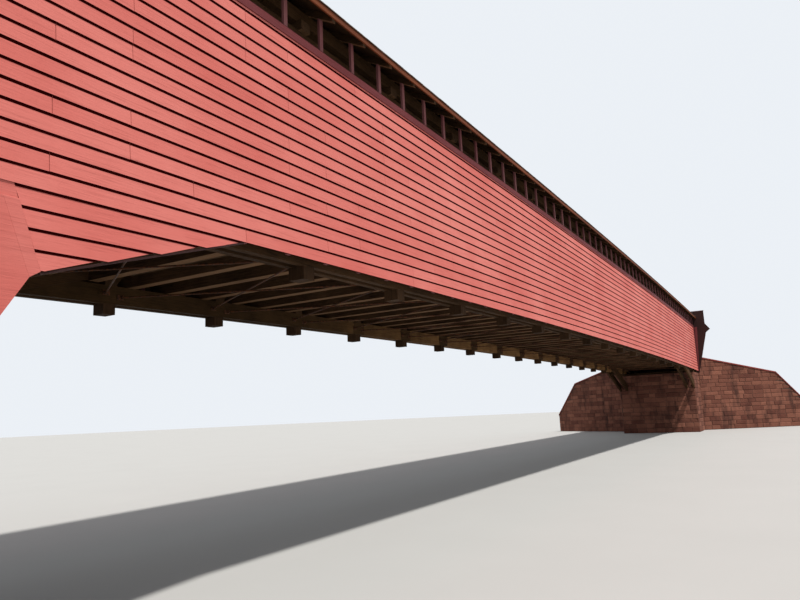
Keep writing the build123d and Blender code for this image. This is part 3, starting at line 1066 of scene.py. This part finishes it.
# %% Dress the frame
WEARS = [
    (("lower_chord_back",), CHORD_LIT_AND_SHADED),
    (("lower_chord_front", "upper_chord", "raising_plates", "arches"), BEAM_X),
    (("braces", "top_laterals"), BEAM_X),
    (("floor_beams", "bolsters", "tie_beams", "knee_braces", "rafters"), BEAM_Y),
    (("posts",), BEAM_Z),
    (("studs",), STUD_RED),
    (("roof",), ROOF_UNDER),
    (("ridge_cap",), RIDGE),
    (("fascia",), EDGE_RUST),
    (("cap_board", "corner_boards"), TRIM_RED),
    # The fronts' solids wear the maroon darkened as painted shade.
    (("portal",), PAINTED_SHADE_MAROON),
    (("siding", "skirt", "apron"), WALL_RED),
    (("abutment", "approach", "wing_walls"), MORTAR),
    (("wing_copings",), CAP_RED),
    (("deck",), PLANK),
    (("floor_rods",), IRON),
]
for name, node in sorted(nodes.items()):
    match = [finish for starts, finish in WEARS if name.startswith(starts)]
    node.data.materials.clear()
    node.data.materials.append(match[0])
print("dressed nodes:", len(nodes))

# %% [markdown]
# ## Floor and light
# The bridge stands on a plain pale floor in even light from all round, with one broad soft lamp high in
# front of the long wall. The lamp comes from above, so each lap board shades the one below it.

# %% Floor
FLOOR_RADIUS = 120.0
bpy.ops.mesh.primitive_circle_add(vertices=96, radius=FLOOR_RADIUS, fill_type="NGON",
                                  location=(0, 0, -0.001))
floor = bpy.context.object
floor.name = "studio_floor"
pale, tree, shader, place = start_finish("pale_floor")
soft = noise(tree, place, 0.6, detail=3.0)
tree.links.new(blend(tree, soft, (0.42, 0.417, 0.408), (0.45, 0.447, 0.437)), shader.inputs["Base Color"])
shader.inputs["Roughness"].default_value = 0.95
floor.data.materials.append(pale)
print("floor radius:", FLOOR_RADIUS, "m")

# %% [markdown]
# The light from all round has two strengths. One lights the bridge, and a brighter one is only seen,
# directly and in glossy or clear surfaces, so that a pale background takes no light onto the wood.

# %% Light from all round
world = bpy.data.worlds.new("even_light")
bpy.context.scene.world = world
world.use_nodes = True
tree = world.node_tree
tree.nodes.clear()
cast = tree.nodes.new("ShaderNodeBackground")
cast.inputs["Color"].default_value = (0.93, 0.96, 1.0, 1.0)
cast.inputs["Strength"].default_value = 0.5
seen = tree.nodes.new("ShaderNodeBackground")
seen.inputs["Color"].default_value = (0.88, 0.92, 0.97, 1.0)
seen.inputs["Strength"].default_value = 0.95
path = tree.nodes.new("ShaderNodeLightPath")
glossy = combine(tree, "MAXIMUM", path.outputs["Is Glossy Ray"], path.outputs["Is Transmission Ray"])
direct = combine(tree, "MAXIMUM", path.outputs["Is Camera Ray"], glossy)
pick = tree.nodes.new("ShaderNodeMixShader")
drawn = tree.nodes.new("ShaderNodeOutputWorld")
tree.links.new(direct, pick.inputs["Fac"])
tree.links.new(cast.outputs["Background"], pick.inputs[1])
tree.links.new(seen.outputs["Background"], pick.inputs[2])
tree.links.new(pick.outputs["Shader"], drawn.inputs["Surface"])
print("light from all round:", cast.inputs["Strength"].default_value)

# %% Lamp
LAMP_WAY = Vector((0.30, 0.48, -1.0))
lamp = bpy.data.lights.new("broad_lamp", "SUN")
lamp.energy = 4.2
lamp.angle = math.radians(3)
lamp.color = (1.0, 0.97, 0.92)
holder = bpy.data.objects.new("broad_lamp", lamp)
holder.rotation_euler = LAMP_WAY.to_track_quat("-Z", "Y").to_euler()
bpy.context.scene.collection.objects.link(holder)
bpy.context.scene.view_settings.view_transform = "Standard"
print("lamp strength:", lamp.energy)

# %% [markdown]
# ## Camera
# The view is from below the deck, close to the near end and a few metres out from the wall, turned
# along the bridge. Its place and lens were worked out from the lines of the wall, so they are set as a
# position and three angles, and as a focal length in pixels of a picture 800 wide.

# %% Camera
EYE = Vector((-14.955, -4.7239, 1.2756))
TURN, RISE, LEAN = 0.5246, 0.1691, -0.0439
FOCAL_PIXELS = 657.83
PICTURE_WIDE = 800
SENSOR = 36.0
forward = Vector((math.cos(RISE) * math.cos(TURN), math.cos(RISE) * math.sin(TURN), math.sin(RISE)))
flat_right = Vector((math.sin(TURN), -math.cos(TURN), 0))
flat_up = flat_right.cross(forward)
right = flat_right * math.cos(LEAN) + flat_up * math.sin(LEAN)
up = flat_up * math.cos(LEAN) - flat_right * math.sin(LEAN)
view = bpy.data.cameras.new("wall_view")
view.sensor_width = SENSOR
view.lens = SENSOR * FOCAL_PIXELS / PICTURE_WIDE
view.clip_end = 500.0
eye = bpy.data.objects.new("wall_view", view)
eye.matrix_world = Matrix(((right.x, up.x, -forward.x, EYE.x), (right.y, up.y, -forward.y, EYE.y),
                           (right.z, up.z, -forward.z, EYE.z), (0, 0, 0, 1)))
bpy.context.scene.collection.objects.link(eye)
bpy.context.scene.camera = eye
print("lens:", round(view.lens, 2), "mm")
